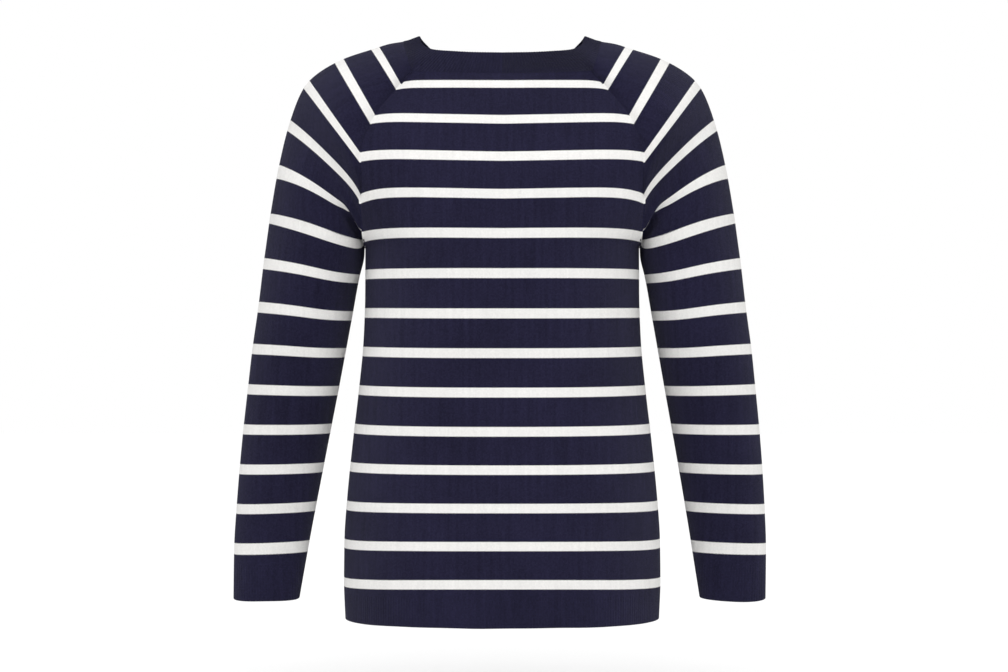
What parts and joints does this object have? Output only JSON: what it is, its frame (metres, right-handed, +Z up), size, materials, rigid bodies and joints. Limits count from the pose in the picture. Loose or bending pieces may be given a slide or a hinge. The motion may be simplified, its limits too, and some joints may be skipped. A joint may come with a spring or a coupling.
{
  "type": "striped jumper",
  "caption": "Long-sleeved raglan jumper in fine navy knit with narrow off-white stripes, a ribbed round neckband and plain navy hem and cuffs, filled out as when worn.",
  "frame": {"origin": "midway between the two neck points of the shoulders, where the wearer's shoulders carry it", "axes": "+Z up; the back faces -Y and the front faces +Y; the wearer's left is at -X"},
  "size_m": [0.5866, 0.2075, 0.6306],
  "materials": {
    "navy_knit": "matte fine knit, navy with off-white stripes",
    "navy_rib": "matte ribbed knit, navy"
  },
  "bodies": {
    "root": {"back_panel": "navy_knit", "front_panel": "navy_knit", "sleeve_left": "navy_knit", "sleeve_right": "navy_knit", "neckband": "navy_rib"}
  },
  "joints": []
}
